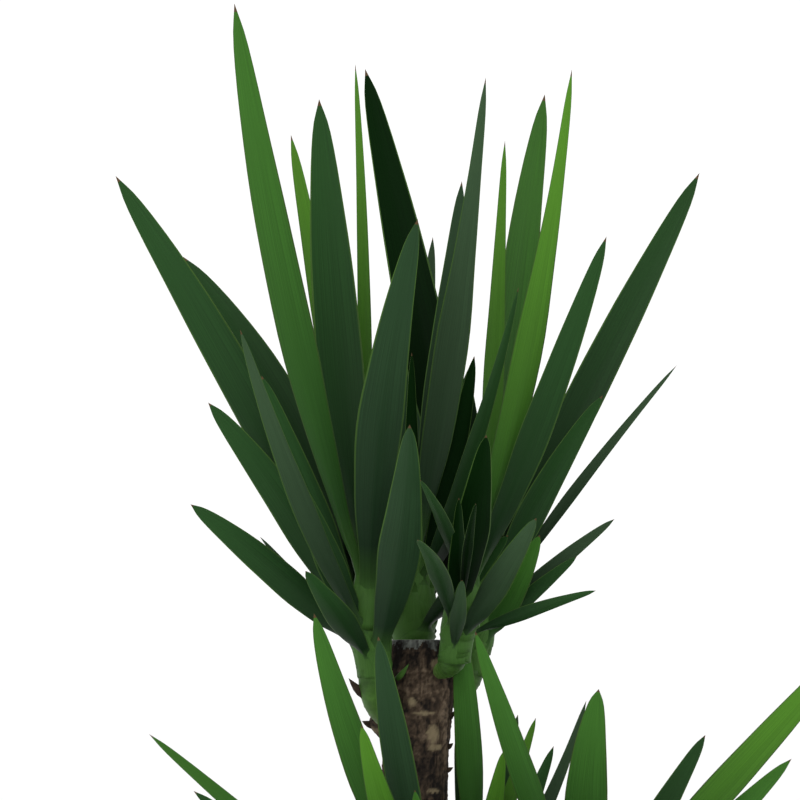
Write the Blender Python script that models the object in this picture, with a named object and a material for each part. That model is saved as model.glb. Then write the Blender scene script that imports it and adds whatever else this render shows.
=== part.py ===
"""Spineless yucca: two sawn canes from one foot, each crowned by leafy side shoots.

Metres, +Z up, the ground at Z = 0 and the front of the plant towards -Y.
"""

import math

import bmesh
import bpy
from mathutils import Vector
from mathutils.bvhtree import BVHTree

# Driving dimensions
CLEARANCE = 0.0003  # air left between neighbouring bodies
WELD = 0.000001  # points of a union nearer than this become one
CANE_SIDES = 20
STEM_SIDES = 10

TALL_FOOT = (-0.008, 0.000, 0.000)
TALL_TOP = (0.006, 0.000, 0.620)
SHORT_FOOT = (0.092, -0.060, 0.000)
SHORT_TOP = (0.088, -0.070, 0.300)

# Cane radius at each share of its height: root flare, slim middle, swollen head, sawn edge
CANE_PROFILE = (
    (0.000, 0.0640),
    (0.025, 0.0560),
    (0.060, 0.0470),
    (0.120, 0.0400),
    (0.250, 0.0360),
    (0.500, 0.0340),
    (0.800, 0.0330),
    (0.880, 0.0345),
    (0.945, 0.0345),
    (0.985, 0.0300),
    (1.000, 0.0270),
)

# Side shoots: the cane, the middle line from under its bark upwards, and the two end radii
SHOOTS = {
    "left": (
        "tall",
        (-0.020, -0.018, 0.543),
        (-0.040, -0.046, 0.556),
        (-0.036, -0.046, 0.590),
        0.013,
        0.017,
    ),
    "back": (
        "tall",
        (0.004, 0.022, 0.558),
        (0.003, 0.054, 0.570),
        (0.002, 0.054, 0.604),
        0.013,
        0.017,
    ),
    "front": (
        "tall",
        (0.022, -0.018, 0.570),
        (0.038, -0.044, 0.578),
        (0.040, -0.047, 0.604),
        0.012,
        0.015,
    ),
    "right": (
        "tall",
        (0.028, 0.006, 0.560),
        (0.055, 0.012, 0.568),
        (0.058, 0.014, 0.590),
        0.011,
        0.014,
    ),
    "low_left": (
        "short",
        (0.070, -0.078, 0.205),
        (0.028, -0.098, 0.222),
        (0.026, -0.100, 0.275),
        0.013,
        0.017,
    ),
    "low_back": (
        "short",
        (0.082, -0.054, 0.222),
        (0.070, -0.006, 0.236),
        (0.070, -0.004, 0.285),
        0.013,
        0.016,
    ),
    "low_right": (
        "short",
        (0.108, -0.070, 0.205),
        (0.156, -0.076, 0.222),
        (0.160, -0.078, 0.275),
        0.013,
        0.017,
    ),
}

# Growing tip of the leafy stem that carries on from each shoot
TIPS = {
    "left": (-0.046, -0.048, 0.676),
    "back": (-0.002, 0.060, 0.700),
    "front": (0.056, -0.053, 0.690),
    "right": (0.071, 0.018, 0.676),
    "low_left": (0.016, -0.104, 0.370),
    "low_back": (0.064, 0.002, 0.380),
    "low_right": (0.168, -0.082, 0.370),
}
TIP_RADIUS = 0.009

# Leaf outline: half width at each share of the length, of a slender leaf and of a full one,
# as a share of the widest
BLADE = (
    (0.00, 0.56, 0.44),
    (0.10, 0.60, 0.46),
    (0.28, 0.95, 0.78),
    (0.46, 1.00, 1.00),
    (0.64, 0.66, 0.90),
    (0.82, 0.36, 0.65),
    (0.94, 0.20, 0.36),
)
THICKNESS = 0.0105  # of the leaf's length, at the midrib
CHANNEL = 0.22  # rise of the margins over the midrib, of the half width
ARCH = 0.05  # how far the middle of a spiral leaf stands over its straight line
SEATING = 0.35  # how far out each leaf starts inside its stem, of the stem radius there
SEAT_STEP = 0.001  # hair by which seats differ, so that no two walls of a head just touch
SEAT_SHIFTS = {
    "left": 3,
    "back": 0,
    "front": 6,
    "right": 0,
    "low_left": 0,
    "low_back": 12,
    "low_right": 0,
}
AIR = 0.0012  # leaves of two heads, or a leaf and a limb, keep this far apart

# Leaves by head: seat up the stem, lean to the right and to the front in degrees,
# rise of the tip over the seat, width, sideways bow of the length, face turned to the right,
# and outline from slender (0) to full (1)
LEAVES = {
    "left": (
        (0.80, -12.5, 20, 0.5675, 0.037, -0.019, -10, 1.0),
        (0.92, -9.5, -12, 0.4625, 0.026, 0.006, 14, 0.9),
        (0.86, -5.5, 6, 0.4875, 0.048, -0.005, 8, 0.95),
        (0.98, -1.2, -2, 0.5200, 0.015, 0.012, -20, 0.7),
        (0.74, 7.5, 28, 0.3675, 0.047, -0.026, 10, 0.6),
        (0.08, 8.5, 42, 0.2275, 0.044, 0.022, -6, 0.6),
        (0.35, -29.0, -6, 0.4650, 0.042, 0.020, -14, 1.0),
        (0.50, -27.0, -24, 0.3800, 0.038, 0.064, 12, 0.9),
        (0.25, -22.5, 30, 0.3050, 0.024, -0.022, 18, 0.5),
        (0.30, -22.5, 4, 0.2650, 0.034, -0.010, -9, 0.8),
        (0.20, -24.0, 22, 0.1875, 0.030, 0.000, 15, 0.6),
        (0.20, -33.5, 2, 0.2475, 0.036, 0.040, -8, 0.9),
        (0.10, -49.5, 8, 0.1550, 0.031, 0.035, 6, 1.0),
        (0.12, -43.0, -14, 0.1225, 0.012, 0.000, 24, 0.8),
        (0.08, -36.5, 52, 0.0900, 0.036, 0.000, -12, 0.6),
    ),
    "back": (
        (0.80, 8.5, 10, 0.5000, 0.035, 0.010, 5, 0.0),
        (0.88, 7.5, -16, 0.4075, 0.032, 0.010, -16, 0.8),
        (0.95, 4.0, -34, 0.3525, 0.022, 0.000, -10, 0.9),
        (0.60, 14.5, 4, 0.2450, 0.024, 0.020, 14, 0.9),
        (0.55, 0.0, 6, 0.2525, 0.018, 0.000, 8, 0.5),
        (0.60, 19.0, 26, 0.3050, 0.018, 0.023, -20, 0.4),
        (0.20, 43.0, 48, 0.1000, 0.034, 0.000, 10, 0.7),
    ),
    "front": (
        (0.70, 11.5, 8, 0.5100, 0.030, 0.022, -6, 0.1),
        (0.60, 21.3, 18, 0.3550, 0.032, 0.008, -14, 0.85),
        (0.45, 7.8, 36, 0.1750, 0.038, 0.000, 12, 0.6),
        (0.30, 0.0, 42, 0.1275, 0.026, 0.000, 18, 0.5),
        (0.10, 32.0, 44, 0.1250, 0.036, 0.000, -9, 0.8),
        (0.20, 71.0, 22, 0.0475, 0.018, -0.060, 15, 0.7),
        (0.05, 6.0, 55, 0.0700, 0.022, 0.000, 0, 0.8),
    ),
    "right": (
        (0.75, -11.5, -22, 0.5750, 0.050, 0.004, -8, 0.75),
        (0.90, 3.1, -6, 0.4600, 0.022, 0.000, 6, 0.3),
        (0.85, 7.5, -14, 0.5200, 0.045, -0.010, 24, 0.9),
        (0.70, 26.9, -8, 0.4450, 0.039, -0.005, -12, 0.95),
        (0.50, 28.5, 12, 0.2300, 0.030, -0.030, 5, 0.8),
        (0.55, 37.8, 4, 0.2575, 0.012, -0.020, -16, 0.6),
        (0.45, 51.0, 2, 0.1125, 0.021, -0.020, -10, 0.9),
        (0.30, 49.5, 14, 0.0875, 0.022, -0.020, 14, 0.8),
        (0.20, 29.5, 20, 0.1170, 0.036, 0.020, -15, 0.8),
    ),
    "low_left": (
        (0.20, -50.0, 6, 0.2350, 0.018, 0.000, 8, 0.9),
        (0.10, -52.0, -10, 0.1875, 0.030, 0.000, -20, 0.7),
        (0.80, -21.0, 10, 0.2950, 0.034, -0.030, 10, 0.9),
        (0.70, -19.0, 26, 0.1975, 0.031, -0.030, -6, 0.6),
        (0.75, -10.5, 16, 0.2775, 0.033, -0.010, -14, 1.0),
        (0.60, -7.0, 34, 0.1450, 0.030, 0.000, 12, 0.6),
    ),
    "low_back": (
        (0.80, -4.0, 10, 0.3025, 0.028, 0.010, 8, 0.9),
        (0.60, -7.0, -4, 0.1825, 0.024, 0.000, -9, 0.6),
        (0.90, 13.5, -14, 0.1750, 0.026, 0.000, 15, 0.6),
        (0.95, 19.5, -2, 0.1675, 0.022, 0.000, -8, 0.6),
        (0.85, 10.0, 14, 0.1450, 0.030, 0.000, 6, 0.6),
        (0.50, 22.0, 4, 0.1825, 0.026, 0.000, 8, 0.8),
        (0.60, 26.5, -8, 0.2175, 0.015, 0.041, -12, 0.6),
    ),
    "low_right": (
        (0.70, -20.0, 8, 0.2875, 0.027, -0.005, 5, 0.8),
        (0.90, 3.5, 18, 0.2125, 0.044, -0.028, -16, 0.8),
        (0.50, 31.0, 2, 0.2050, 0.030, 0.000, -10, 0.7),
        (0.60, 42.5, 8, 0.3050, 0.034, 0.012, 14, 0.8),
        (0.30, 46.5, -4, 0.2000, 0.030, 0.000, 8, 0.8),
    ),
}

# Leaves that follow the spiral: head, how many, middle heading, spread of headings,
# least and most lean, longest blade, most rise of the tip
GOLDEN_ANGLE = 137.508
SPIRALS = (
    ("left", 7, 98, 14, 40, 68, 0.42, 0.24),
    ("back", 14, 90, 30, 30, 74, 0.46, 0.23),
    ("front", 3, 262, 14, 58, 76, 0.30, 0.10),
    ("right", 8, 84, 14, 38, 70, 0.42, 0.24),
    ("low_left", 12, 250, 180, 58, 84, 0.36, 0.10),
    ("low_back", 12, 75, 110, 52, 84, 0.38, 0.10),
    ("low_right", 13, 300, 180, 58, 84, 0.36, 0.10),
)


def clear_scene():
    for obj in list(bpy.data.objects):
        bpy.data.objects.remove(obj, do_unlink=True)


def material(name, colour, roughness):
    made = bpy.data.materials.new(name)
    made.use_nodes = True
    shader = made.node_tree.nodes["Principled BSDF"]
    shader.inputs["Base Color"].default_value = (*colour, 1.0)
    shader.inputs["Roughness"].default_value = roughness
    shader.inputs["Metallic"].default_value = 0.0
    return made


def new_object(name, points, faces):
    mesh = bpy.data.meshes.new(name)
    mesh.from_pydata([tuple(p) for p in points], [], faces)
    form = bmesh.new()
    form.from_mesh(mesh)
    bmesh.ops.recalc_face_normals(form, faces=form.faces)
    form.to_mesh(mesh)
    form.free()
    obj = bpy.data.objects.new(name, mesh)
    bpy.context.scene.collection.objects.link(obj)
    return obj


def finish(obj, surface):
    obj.data.materials.clear()
    obj.data.materials.append(surface)
    obj.data.shade_smooth()
    obj.data.set_sharp_from_angle(angle=math.radians(40))


def tube(name, middles, radii, sides):
    """Closed round limb through the given middle points, level rings at both ends."""
    points, faces = [], []
    for middle, radius in zip(middles, radii):
        for side in range(sides):
            angle = 2 * math.pi * side / sides
            points.append(Vector(middle) + radius * Vector((math.cos(angle), math.sin(angle), 0)))
    for ring in range(len(middles) - 1):
        for side in range(sides):
            a, b = ring * sides + side, ring * sides + (side + 1) % sides
            faces.append((a, b, b + sides, a + sides))
    faces.append(tuple(reversed(range(sides))))
    last = (len(middles) - 1) * sides
    faces.append(tuple(range(last, last + sides)))
    return new_object(name, points, faces)


def cane(name, foot, top, grown=0.0):
    foot, top = Vector(foot), Vector(top)
    middles = [foot.lerp(top, share) for share, _ in CANE_PROFILE]
    middles[-1].z += grown
    middles[0].z -= grown
    return tube(name, middles, [radius + grown for _, radius in CANE_PROFILE], CANE_SIDES)


def half_space(name, towards):
    """Box that fills the far side of the seam between the two feet."""
    tall, short = Vector(TALL_FOOT), Vector(SHORT_FOOT)
    across = (short - tall).normalized() * towards
    middle = (tall + short) / 2
    bpy.ops.mesh.primitive_cube_add(size=1.0)
    box = bpy.context.object
    box.name = name
    box.scale = (0.4, 0.6, 0.3)
    box.rotation_euler.z = math.atan2(across.y, across.x)
    box.location = middle + across * (0.2 - CLEARANCE / 2) + Vector((0, 0, 0.05))
    bpy.context.view_layer.update()
    return box


def cut(obj, cutter):
    trim = obj.modifiers.new("trim", "BOOLEAN")
    trim.operation = "DIFFERENCE"
    trim.object = cutter
    apply_modifiers(obj)
    bpy.data.objects.remove(cutter, do_unlink=True)


def apply_modifiers(obj):
    bpy.context.view_layer.update()
    graph = bpy.context.evaluated_depsgraph_get()
    mesh = bpy.data.meshes.new_from_object(obj.evaluated_get(graph))
    obj.modifiers.clear()
    obj.data = mesh


def keep_main_body(obj):
    """Triangles of the outer skin only: loose scraps and the skins of sealed hollows go."""
    form = bmesh.new()
    form.from_mesh(obj.data)
    bmesh.ops.triangulate(form, faces=form.faces)
    bmesh.ops.remove_doubles(form, verts=form.verts, dist=WELD)
    bmesh.ops.dissolve_degenerate(form, edges=form.edges, dist=WELD)
    bmesh.ops.triangulate(form, faces=form.faces)
    unseen, bodies = set(form.faces), []
    while unseen:
        front, body = [unseen.pop()], []
        while front:
            face = front.pop()
            body.append(face)
            for edge in face.edges:
                for other in edge.link_faces if edge.is_manifold else ():
                    if other in unseen:
                        unseen.remove(other)
                        front.append(other)
        bodies.append(body)
    bodies.sort(key=len)
    for body in bodies[:-1]:
        bmesh.ops.delete(form, geom=body, context="FACES")
    form.to_mesh(obj.data)
    form.free()


def bend(start, middle, end, share):
    """Point on the smooth curve that passes near the middle point."""
    low, high = start.lerp(middle, share), middle.lerp(end, share)
    return low.lerp(high, share)


def shoot_limb(name, start, middle, end, first_radius, last_radius):
    start, middle, end = Vector(start), Vector(middle), Vector(end)
    shares = [step / 5 for step in range(6)]
    middles = [bend(start, middle, end, share) for share in shares]
    radii = [first_radius + (last_radius - first_radius) * share for share in shares]
    return sloped_tube(name, middles, radii, STEM_SIDES, (len(shares) - 1,))


def sloped_tube(name, middles, radii, sides, level_rings):
    """Limb whose rings stand square to its run, except the ones named, which lie level."""
    points, faces = [], []
    across = Vector((1, 0, 0))
    for ring, (middle, radius) in enumerate(zip(middles, radii)):
        before, after = middles[max(ring - 1, 0)], middles[min(ring + 1, len(middles) - 1)]
        run = Vector((0, 0, 1)) if ring in level_rings else (after - before).normalized()
        across = (across - across.dot(run) * run).normalized()
        deep = run.cross(across)
        for side in range(sides):
            angle = 2 * math.pi * side / sides
            points.append(middle + radius * (math.cos(angle) * across + math.sin(angle) * deep))
    for ring in range(len(middles) - 1):
        for side in range(sides):
            a, b = ring * sides + side, ring * sides + (side + 1) % sides
            faces.append((a, b, b + sides, a + sides))
    faces.append(tuple(reversed(range(sides))))
    last = (len(middles) - 1) * sides
    faces.append(tuple(range(last, last + sides)))
    return new_object(name, points, faces)


def stem_ends(head):
    """Foot and tip of the leafy stem of a head, its foot just clear of the shoot."""
    return Vector(SHOOTS[head][3]) + Vector((0, 0, CLEARANCE)), Vector(TIPS[head])


def leaf_form(head, seat, right, front, rise, width, bow, face, full, swell=0.0):
    """Corner points and faces of one closed sword leaf, thickest along its midrib."""
    foot, tip = stem_ends(head)
    girth = SHOOTS[head][5] + (TIP_RADIUS - SHOOTS[head][5]) * seat
    reach = rise * Vector((math.tan(math.radians(right)), -math.tan(math.radians(front)), 1.0))
    outward = Vector((reach.x, reach.y, 0)).normalized()
    root = foot.lerp(tip, seat) + SEATING * girth * outward
    reach -= SEATING * girth * outward
    length, chord = reach.length, reach.normalized()
    over = Vector((0, 0, 1)) - chord.z * chord
    sideways = Vector((1, 0, 0)) - chord.x * chord
    arch = ARCH if face is None else 0.0
    middle = root + reach / 2 + 2 * length * (arch * over + bow * sideways)
    turned = math.radians(face or 0)
    looks = Vector((math.sin(turned), -math.cos(turned), 0))
    points, faces = [], []
    for share, slender, broad in BLADE:
        half = slender + (broad - slender) * full
        here = bend(root, middle, root + reach, share)
        run = ((middle - root).lerp(root + reach - middle, share)).normalized()
        grown = run.cross(outward).normalized()
        shown = run.cross(looks).normalized()
        if grown.dot(shown) < 0:
            grown = -grown
        mix = min(share / 0.35, 1.0) if face is not None else 0.0
        across = grown.lerp(shown, mix * mix * (3 - 2 * mix)).normalized()
        inward = run.cross(across)
        if inward.dot(outward) > 0:
            inward = -inward
        reach_out = half * width / 2 + swell
        lift = CHANNEL * (1 - 0.5 * share) * half * width / 2
        thick = THICKNESS * length / 2 * (1 - 0.45 * share) + swell
        points += [
            here - across * reach_out + inward * lift,
            here - inward * thick,
            here + across * reach_out + inward * lift,
            here + inward * thick,
        ]
    rings = len(BLADE)
    for ring in range(rings - 1):
        for side in range(4):
            a, b = 4 * ring + side, 4 * ring + (side + 1) % 4
            faces.append((a, b, b + 4, a + 4))
    points.append(root + reach * (1 + swell / length))
    last = 4 * (rings - 1)
    for side in range(4):
        faces.append((last + side, last + (side + 1) % 4, len(points) - 1))
    faces.append((3, 2, 1, 0))
    return points, faces


def spiral_rows(head, count, heading, spread, least, most, longest, highest):
    """Rows for leaves set round a stem by the golden angle, older ones lower and more spread."""
    rows = []
    for leaf in range(count):
        turn = math.radians(GOLDEN_ANGLE * leaf)
        swing = math.remainder(turn, 2 * math.pi) / math.pi
        aim = math.radians(heading + spread * swing)
        age = (leaf + 0.5) / count
        lean = math.radians(most + (least - most) * age)
        length = min(longest * (0.78 + 0.22 * math.cos(3 * turn)), highest / math.cos(lean))
        slope = math.tan(lean)
        right = math.degrees(math.atan(slope * math.cos(aim)))
        front = -math.degrees(math.atan(slope * math.sin(aim)))
        seat = 0.12 + 0.8 * age
        width = 0.030 + 0.012 * math.cos(turn)
        rows.append((seat, right, front, length * math.cos(lean), width, 0.0, None, 0.5))
    return rows


def leafy_stem(head):
    foot, tip = stem_ends(head)
    radius = SHOOTS[head][5]
    shares = (0.0, 0.3, 0.7, 1.15)
    radii = [radius * swell for swell in (1.0, 1.3, 1.1, 0.65)]
    rings = [foot.lerp(tip, share) for share in shares]
    return sloped_tube(f"leaves_{head}", rings, radii, STEM_SIDES, (0, 3))


def tree_of(points, faces):
    return BVHTree.FromPolygons([tuple(p) for p in points], faces)


def tree_of_object(obj):
    return tree_of([v.co for v in obj.data.vertices], [tuple(f.vertices) for f in obj.data.polygons])


def settle(head, row, solids):
    """The row leant to the front or back until its leaf is clear, or None if it never is."""
    seat, right, front, rise, width, bow, face, full = row
    for raised in (0.0, 0.1, 0.2):
        for lean in (0, 2, -2, 4, -4, 6, -6, 9, -9, 12, -12, 16, -16):
            tried = (min(seat + raised, 0.98), right, front + lean, rise, width, bow, face, full)
            grown = tree_of(*leaf_form(head, *tried, swell=AIR))
            if not any(grown.overlap(solid) for solid in solids):
                return tried
    return None


def grow_heads(limbs):
    """Rows of every head, placed so that no leaf meets another head or a limb."""
    limb_trees = [tree_of_object(limb) for limb in limbs]
    stem_trees = {}
    for head in TIPS:
        stem = leafy_stem(head)
        stem_trees[head] = tree_of_object(stem)
        bpy.data.objects.remove(stem, do_unlink=True)
    settled = {head: [] for head in TIPS}
    trees = {head: [] for head in TIPS}
    wanted = [(head, row) for head, rows in LEAVES.items() for row in rows]
    wanted += [(spiral[0], row) for spiral in SPIRALS for row in spiral_rows(*spiral)]
    for head, row in wanted:
        solids = limb_trees + [stem_trees[other] for other in TIPS if other != head]
        solids += [tree for other in TIPS if other != head for tree in trees[other]]
        placed = settle(head, row, solids)
        if placed is None:
            print("skipped", head, [round(value, 3) for value in row[:5]])
            continue
        settled[head].append(placed)
        trees[head].append(tree_of(*leaf_form(head, *placed)))
    return settled


def fuse_leaves(head, rows):
    """One Boolean union of the stem and all its leaves."""
    stem = leafy_stem(head)
    blades = bpy.data.collections.new(f"blades_{head}")
    bpy.context.scene.collection.children.link(blades)
    for number, row in enumerate(rows):
        seat = row[0] + SEAT_STEP * SEAT_SHIFTS[head] * (number * 2 % 7)
        blade = new_object(f"blade_{head}_{number}", *leaf_form(head, seat, *row[1:]))
        bpy.context.scene.collection.objects.unlink(blade)
        blades.objects.link(blade)
    union = stem.modifiers.new("leaves", "BOOLEAN")
    union.operation = "UNION"
    union.operand_type = "COLLECTION"
    union.collection = blades
    union.solver = "MANIFOLD"
    apply_modifiers(stem)
    for blade in list(blades.objects):
        bpy.data.objects.remove(blade, do_unlink=True)
    bpy.data.collections.remove(blades)
    keep_main_body(stem)
    return stem


def build():
    clear_scene()
    bark_brown = (0.045, 0.030, 0.019)
    canes = {
        "tall": cane("tall_cane", TALL_FOOT, TALL_TOP),
        "short": cane("short_cane", SHORT_FOOT, SHORT_TOP),
    }
    cut(canes["tall"], half_space("seam_beyond_tall", 1))
    cut(canes["short"], half_space("seam_beyond_short", -1))
    ends = {"tall": (TALL_FOOT, TALL_TOP), "short": (SHORT_FOOT, SHORT_TOP)}
    for key, obj in canes.items():
        finish(obj, material(f"{key}_bark", bark_brown, 0.9))
    limbs = list(canes.values())
    for head, (key, start, middle, end, first_radius, last_radius) in SHOOTS.items():
        shoot = shoot_limb(f"shoot_{head}", start, middle, end, first_radius, last_radius)
        cut(shoot, cane("bark_line", *ends[key], grown=CLEARANCE))
        keep_main_body(shoot)
        finish(shoot, material(f"shoot_{head}_skin", (0.110, 0.170, 0.055), 0.55))
        limbs.append(shoot)
    for head, rows in grow_heads(limbs).items():
        stem = fuse_leaves(head, rows)
        finish(stem, material(f"leaves_{head}_green", (0.030, 0.085, 0.022), 0.42))


build()
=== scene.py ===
# %% [markdown]
# # A spineless yucca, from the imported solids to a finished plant
# The plant is two lengths of sawn trunk standing from one foot. Round the top of each trunk a few
# green side shoots have broken, and each shoot ends in a head of long sword leaves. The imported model
# holds the plain solids. This lesson loads them as a fixed frame, grows fine leaves and bark in their
# place, and lights the result. Loading comes first, because every later measure is read in that frame.

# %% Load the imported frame
import math

import bpy
import numpy as np
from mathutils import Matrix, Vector, noise
from mathutils.bvhtree import BVHTree


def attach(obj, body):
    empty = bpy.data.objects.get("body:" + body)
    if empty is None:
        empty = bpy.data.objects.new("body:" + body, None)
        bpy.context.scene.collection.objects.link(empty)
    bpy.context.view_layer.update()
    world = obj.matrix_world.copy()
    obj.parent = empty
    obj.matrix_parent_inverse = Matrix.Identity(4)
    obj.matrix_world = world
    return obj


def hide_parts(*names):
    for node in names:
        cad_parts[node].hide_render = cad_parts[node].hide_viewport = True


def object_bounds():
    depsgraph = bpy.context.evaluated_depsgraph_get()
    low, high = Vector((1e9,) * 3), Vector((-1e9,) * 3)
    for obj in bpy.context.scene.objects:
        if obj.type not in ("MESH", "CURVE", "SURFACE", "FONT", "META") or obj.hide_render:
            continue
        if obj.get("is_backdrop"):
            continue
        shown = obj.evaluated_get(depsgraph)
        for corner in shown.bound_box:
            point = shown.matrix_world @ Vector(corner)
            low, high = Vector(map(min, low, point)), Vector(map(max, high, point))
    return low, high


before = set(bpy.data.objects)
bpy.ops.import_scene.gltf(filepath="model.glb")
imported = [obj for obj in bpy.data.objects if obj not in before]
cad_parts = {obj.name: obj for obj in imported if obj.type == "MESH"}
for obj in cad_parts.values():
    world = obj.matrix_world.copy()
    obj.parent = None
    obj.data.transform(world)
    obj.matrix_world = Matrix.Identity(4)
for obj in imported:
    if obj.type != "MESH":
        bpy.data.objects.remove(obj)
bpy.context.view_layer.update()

# %% [markdown]
# ## Camera, floor and light
# The plant is seen from the front, from a few metres away and a little below the crown's middle, so
# the lens is long and the view is nearly flat. A tall plant could be framed whole, but here the crown
# is the subject, so the lower leaves run out of view. The camera looks slightly upwards: it is placed
# by two points, where it stands and what it looks at, which are easier to think about than angles.

# %% Camera
CAMERA_AT = Vector((-0.012, -5.0, 0.620))
LOOKS_AT = Vector((-0.012, 0.0, 0.860))
LENS = 225.3
FILM_WIDTH = 36.0


def stand(name, data):
    """Object made of a mesh, a light or a camera, linked into the scene."""
    made = bpy.data.objects.new(name, data)
    bpy.context.scene.collection.objects.link(made)
    return made


def turned_to(target, place):
    """Rotation of a camera or a lamp at one place that makes it look at another."""
    return (target - place).to_track_quat("-Z", "Y").to_euler()


eye = bpy.data.cameras.new("eye")
eye.lens = LENS
eye.sensor_width = FILM_WIDTH
camera = stand("camera", eye)
camera.location = CAMERA_AT
camera.rotation_euler = turned_to(LOOKS_AT, CAMERA_AT)
bpy.context.scene.camera = camera
print("camera", round((LOOKS_AT - CAMERA_AT).length, 3), "m from the crown")

# %% [markdown]
# The plant stands on a plain pale floor, wide enough that its far edge meets the white sky in one
# even tone, so no horizon line crosses the leaves. A curved paper sweep would do the same from the
# front, but its wall would hide the plant from behind. It is marked as stage, because it is not part
# of the plant.

# %% Pale floor
FLOOR_HALF = 60.0
PAPER = (0.95, 0.95, 0.95)


def plain_surface(name, colour, roughness):
    """A Principled surface of one colour, for the stage and as the start of other finishes."""
    made = bpy.data.materials.new(name)
    made.use_nodes = True
    shader = made.node_tree.nodes["Principled BSDF"]
    shader.inputs["Base Color"].default_value = (*colour, 1.0)
    shader.inputs["Roughness"].default_value = roughness
    return made


def mesh_of(name, points, faces):
    """Mesh of the given corner points and faces."""
    made = bpy.data.meshes.new(name)
    made.from_pydata([tuple(point) for point in points], [], faces)
    return made


corners = [(x * FLOOR_HALF, y * FLOOR_HALF, 0) for x, y in ((-1, -1), (1, -1), (1, 1), (-1, 1))]
floor_mesh = mesh_of("floor", corners, [(0, 1, 2, 3)])
floor_mesh.materials.append(plain_surface("pale_paper", PAPER, 0.9))
floor = stand("floor", floor_mesh)
floor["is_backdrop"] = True
print("floor is", 2 * FLOOR_HALF, "m wide")

# %% [markdown]
# The light is that of a bright studio: soft from all round, with one broad panel above and to the
# left, and two weaker ones on the right and in front. The even sky shows the form by how little of it
# reaches the heart of each head. The inner leaves look almost black from that, and from painted shade
# in their colours. The panels are large, so they make wide, dull highlights on the waxy leaves and no
# hard shadow.

# %% Light
SKY_STRENGTH = 1.07
PANELS_FACE = Vector((0, 0, 0.85))
# Name, place, width in metres and power in watts
PANELS = (
    ("panel_left", (-2.6, -2.2, 3.2), 2.4, 95.0),
    ("panel_right", (2.8, -1.6, 2.2), 2.0, 38.0),
    ("panel_front", (0.3, -4.4, 2.6), 2.0, 30.0),
)

sky = bpy.data.worlds.new("studio_sky")
sky.use_nodes = True
air = sky.node_tree.nodes["Background"]
air.inputs["Color"].default_value = (1.0, 1.0, 1.0, 1.0)
air.inputs["Strength"].default_value = SKY_STRENGTH
bpy.context.scene.world = sky
bpy.context.scene.view_settings.view_transform = "Standard"
for name, place, size, power in PANELS:
    panel = bpy.data.lights.new(name, "AREA")
    panel.shape = "SQUARE"
    panel.size = size
    panel.energy = power
    lamp = stand(name, panel)
    lamp.location = place
    lamp.rotation_euler = turned_to(PANELS_FACE, Vector(place))
print(len(PANELS), "panels and an even sky")

# %% [markdown]
# ## The plan of the plant
# Everything below is worked out from a few named sizes in metres: where each trunk stands and how its
# radius changes with height, where each side shoot leaves the bark and where it grows to, and one row
# for each leaf that shows from the front. The solids follow the same plan, so the fine pieces land
# exactly where the plain ones are. The ground is at Z = 0 and the front of the plant looks to -Y.

# %% Trunks and side shoots
CLEARANCE = 0.0003
TALL_FOOT, TALL_TOP = Vector((-0.008, 0.000, 0.000)), Vector((0.006, 0.000, 0.620))
SHORT_FOOT, SHORT_TOP = Vector((0.092, -0.060, 0.000)), Vector((0.088, -0.070, 0.300))

# Trunk radius at each share of its height: root flare, slim middle, swollen head, sawn edge
CANE_PROFILE = (
    (0.000, 0.0640),
    (0.025, 0.0560),
    (0.060, 0.0470),
    (0.120, 0.0400),
    (0.250, 0.0360),
    (0.500, 0.0340),
    (0.800, 0.0330),
    (0.880, 0.0345),
    (0.945, 0.0345),
    (0.985, 0.0300),
    (1.000, 0.0270),
)

# Side shoots: the trunk, the middle line from under its bark upwards, and the two end radii
SHOOTS = {
    "left": ("tall", (-0.020, -0.018, 0.543), (-0.040, -0.046, 0.556), (-0.036, -0.046, 0.590),
             0.013, 0.017),
    "back": ("tall", (0.004, 0.022, 0.558), (0.003, 0.054, 0.570), (0.002, 0.054, 0.604),
             0.013, 0.017),
    "front": ("tall", (0.022, -0.018, 0.570), (0.038, -0.044, 0.578), (0.040, -0.047, 0.604),
             0.012, 0.015),
    "right": ("tall", (0.028, 0.006, 0.560), (0.055, 0.012, 0.568), (0.058, 0.014, 0.590),
             0.011, 0.014),
    "low_left": ("short", (0.070, -0.078, 0.205), (0.028, -0.098, 0.222), (0.026, -0.100, 0.275),
             0.013, 0.017),
    "low_back": ("short", (0.082, -0.054, 0.222), (0.070, -0.006, 0.236), (0.070, -0.004, 0.285),
             0.013, 0.016),
    "low_right": ("short", (0.108, -0.070, 0.205), (0.156, -0.076, 0.222), (0.160, -0.078, 0.275),
             0.013, 0.017),
}

# Growing tip of the leafy stem that carries on from each shoot
TIPS = {
    "left": (-0.046, -0.048, 0.676),
    "back": (-0.002, 0.060, 0.700),
    "front": (0.056, -0.053, 0.690),
    "right": (0.071, 0.018, 0.676),
    "low_left": (0.016, -0.104, 0.370),
    "low_back": (0.064, 0.002, 0.380),
    "low_right": (0.168, -0.082, 0.370),
}
TIP_RADIUS = 0.009
print(len(SHOOTS), "side shoots on two trunks")
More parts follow.
